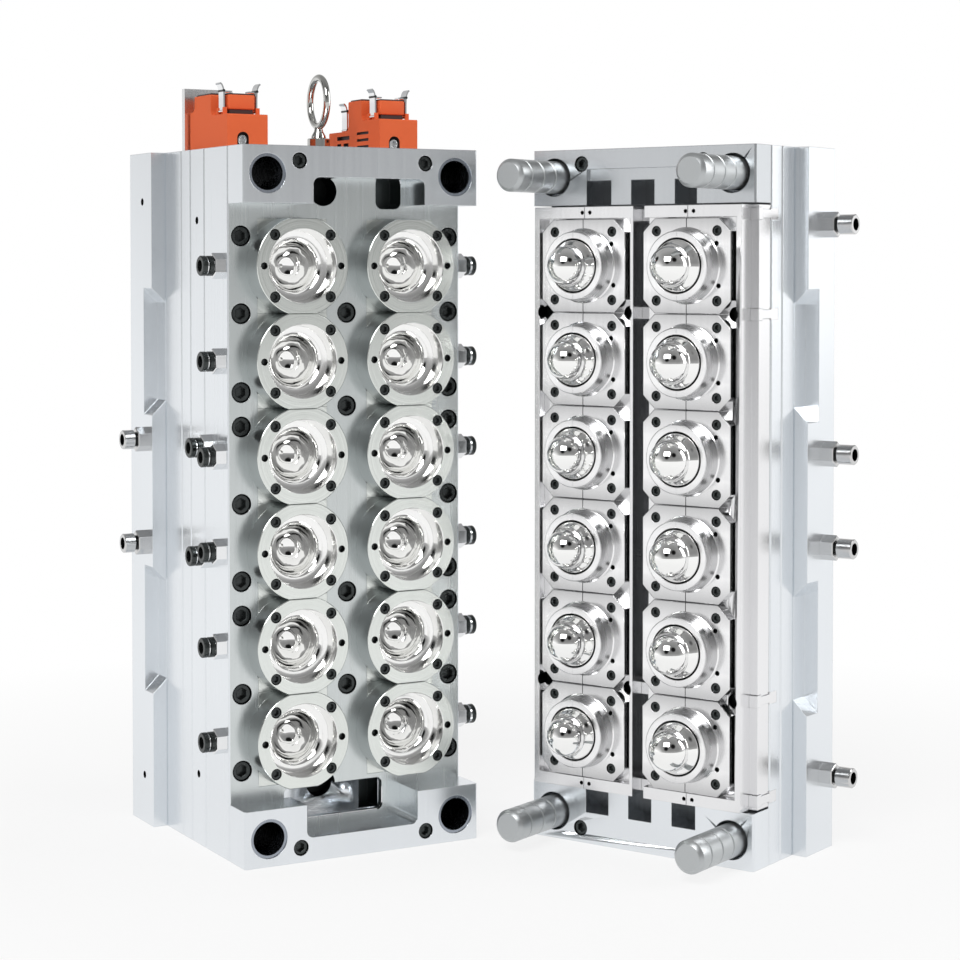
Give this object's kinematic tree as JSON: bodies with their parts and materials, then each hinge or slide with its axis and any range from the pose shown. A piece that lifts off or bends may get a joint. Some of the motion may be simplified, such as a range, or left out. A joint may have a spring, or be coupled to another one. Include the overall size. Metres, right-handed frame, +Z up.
{
  "type": "preform mould",
  "caption": "Opened PET preform mould: a hot cavity half and a core half with neck-ring slides, standing side by side.",
  "frame": {"origin": "centre of the bounding box, on the floor", "axes": "+Z up, -Y out of the face of the cavity half, +X to the right across that face"},
  "size_m": [0.5162, 0.4692, 0.669],
  "materials": {
    "plate_steel": "ground mould steel",
    "insert_steel": "turned and polished stainless mould steel",
    "pin_steel": "hardened and ground pin steel",
    "manifold_steel": "heat-toned steel",
    "fitting_metal": "plated hose fittings",
    "hood_plastic": "moulded orange-red connector hood",
    "latch_steel": "pressed latch steel"
  },
  "bodies": {
    "root": {"cavity_bottom_bar": "plate_steel", "cavity_plate": "plate_steel", "cavity_top_bar": "plate_steel", "clamp_nipples": "fitting_metal", "connector_bracket": "latch_steel", "core_clamp_plate": "plate_steel", "core_nipples": "fitting_metal", "core_plate": "plate_steel", "eye_bolt": "pin_steel", "guide_bushes": "pin_steel", "hot_clamp_plate": "plate_steel", "hot_nozzles": "manifold_steel", "leader_pins": "pin_steel", "left_cavity_inserts": "insert_steel", "left_connector_base": "hood_plastic", "left_connector_hood": "hood_plastic", "left_cores": "insert_steel", "left_couplings": "fitting_metal", "locating_ring": "pin_steel", "manifold": "manifold_steel", "manifold_frame": "plate_steel", "nozzle_plate": "plate_steel", "rear_couplings": "fitting_metal", "rear_frame": "plate_steel", "right_cavity_inserts": "insert_steel", "right_connector_base": "hood_plastic", "right_connector_hood": "hood_plastic", "right_cores": "insert_steel", "right_couplings": "fitting_metal", "sprue_bush": "pin_steel"},
    "stripper_unit": {"core_bottom_bar": "plate_steel", "core_top_bar": "plate_steel", "guide_rails": "plate_steel", "stripper_plate": "plate_steel"},
    "left_slides": {"left_column_left_neck_rings": "insert_steel", "left_column_left_slide": "plate_steel", "right_column_left_neck_rings": "insert_steel", "right_column_left_slide": "plate_steel"},
    "right_slides": {"left_column_right_neck_rings": "insert_steel", "left_column_right_slide": "plate_steel", "right_column_right_neck_rings": "insert_steel", "right_column_right_slide": "plate_steel"},
    "left_connector_left_latch": {"left_connector_left_latch": "latch_steel"},
    "left_connector_right_latch": {"left_connector_right_latch": "latch_steel"},
    "right_connector_left_latch": {"right_connector_left_latch": "latch_steel"},
    "right_connector_right_latch": {"right_connector_right_latch": "latch_steel"}
  },
  "joints": [
    {"name": "stripper_stroke", "type": "slide", "parent": "root", "child": "stripper_unit", "axis": [-0.9048, -0.4258, 0], "range_m": [0, 0.06]},
    {"name": "left_slide_opening", "type": "slide", "parent": "stripper_unit", "child": "left_slides", "axis": [-0.4258, 0.9048, 0], "range_m": [0, 0.005]},
    {"name": "right_slide_opening", "type": "slide", "parent": "stripper_unit", "child": "right_slides", "axis": [0.4258, -0.9048, 0], "range_m": [0, 0.005]},
    {"name": "left_connector_left_latch_swing", "type": "hinge", "parent": "root", "child": "left_connector_left_latch", "pos_m": [-0.21107, 0.06464, 0.631], "axis": [0, -1, 0], "range_deg": [0, 90]},
    {"name": "left_connector_right_latch_swing", "type": "hinge", "parent": "root", "child": "left_connector_right_latch", "pos_m": [-0.18107, 0.06464, 0.631], "axis": [0, 1, 0], "range_deg": [0, 90]},
    {"name": "right_connector_left_latch_swing", "type": "hinge", "parent": "root", "child": "right_connector_left_latch", "pos_m": [-0.06807, 0.06464, 0.631], "axis": [0, -1, 0], "range_deg": [0, 90]},
    {"name": "right_connector_right_latch_swing", "type": "hinge", "parent": "root", "child": "right_connector_right_latch", "pos_m": [-0.03807, 0.06464, 0.631], "axis": [0, 1, 0], "range_deg": [0, 90]}
  ],
  "couplings": [
    {"joint": "left_slide_opening", "follows": "stripper_stroke", "ratio": 0.083333},
    {"joint": "right_slide_opening", "follows": "stripper_stroke", "ratio": 0.083333}
  ]
}
